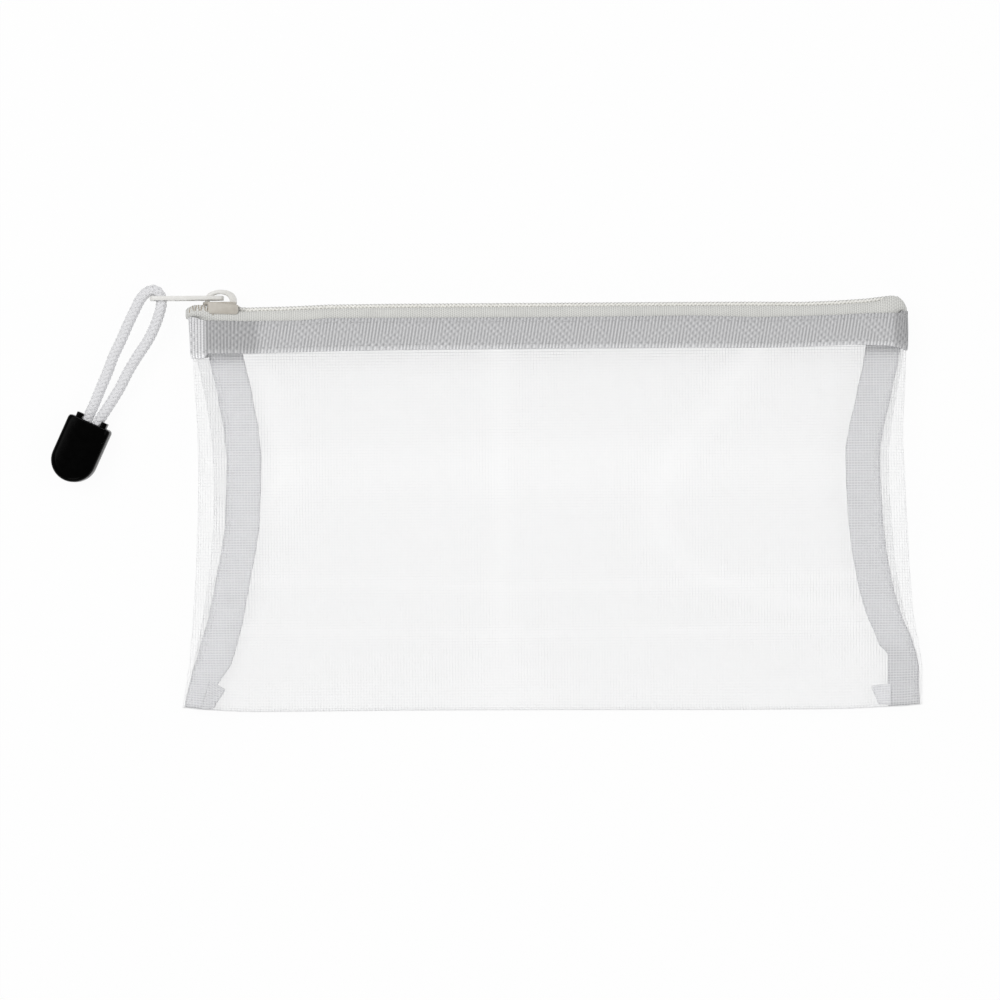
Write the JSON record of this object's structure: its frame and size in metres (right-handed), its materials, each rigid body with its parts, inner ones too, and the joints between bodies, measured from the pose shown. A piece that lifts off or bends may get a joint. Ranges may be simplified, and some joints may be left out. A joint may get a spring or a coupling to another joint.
{
  "type": "pencil pouch",
  "caption": "Flat see-through mesh pencil pouch, folded at the bottom, with a coil zipper along the top, ribbon-bound side seams, and a pull tab with a cord loop and end piece.",
  "frame": {"origin": "middle of the flat back panel, on the table that it lies on", "axes": "+X along the zipper, +Y from the fold toward the zipper, +Z out of the front panel"},
  "size_m": [0.2776, 0.137, 0.0184],
  "materials": {
    "mesh": "white monofilament mesh, see-through",
    "ribbon": "white ribbed grosgrain ribbon",
    "tape": "off-white woven zipper tape",
    "coil": "satin off-white nylon coil",
    "slider": "cream enamel",
    "pull_tab": "off-white enamel",
    "cord": "white braided cord",
    "cord_end": "smooth glossy black plastic"
  },
  "bodies": {
    "back": {"mesh_back_panel": "mesh", "back_band": "ribbon", "back_zipper_tape": "tape", "back_coil": "coil"},
    "side_seams": {"left_seam_binding": "ribbon", "right_seam_binding": "ribbon", "zipper_end_left": "tape", "zipper_end_right": "tape"},
    "front": {"mesh_front_panel": "mesh", "front_band": "ribbon", "front_zipper_tape": "tape", "front_coil": "coil"},
    "slider": {"slider": "slider"},
    "pull_tab": {"pull_tab": "pull_tab"},
    "cord": {"cord_loop": "cord", "cord_end_shell": "cord_end", "cord_end_plug": "cord_end", "cord_knot": "cord"}
  },
  "joints": [
    {"name": "seams_open", "type": "hinge", "parent": "back", "child": "side_seams", "pos_m": [0, -0.065, 0.0022], "axis": [1, 0, 0], "range_deg": [0, 8]},
    {"name": "front_opens", "type": "hinge", "parent": "side_seams", "child": "front", "pos_m": [0, -0.065, 0.0022], "axis": [1, 0, 0], "range_deg": [0, 8]},
    {"name": "slider_travel", "type": "slide", "parent": "side_seams", "child": "slider", "axis": [1, 0, 0], "range_m": [0, 0.204]},
    {"name": "pull_tab_swing", "type": "hinge", "parent": "slider", "child": "pull_tab", "pos_m": [-0.10545, 0.06755, 0.0059], "axis": [0, 0, -1], "range_deg": [0, 175]},
    {"name": "cord_swing", "type": "hinge", "parent": "pull_tab", "child": "cord", "pos_m": [-0.12495, 0.0675, 0.0059], "axis": [0, 0, -1], "range_deg": [0, 60], "deforming": ["cord_loop"]}
  ],
  "couplings": [
    {"joint": "front_opens", "follows": "seams_open", "ratio": 1},
    {"joint": "pull_tab_swing", "follows": "slider_travel", "rad_per_m": 14.97},
    {"joint": "cord_swing", "follows": "slider_travel", "rad_per_m": 5.13}
  ]
}
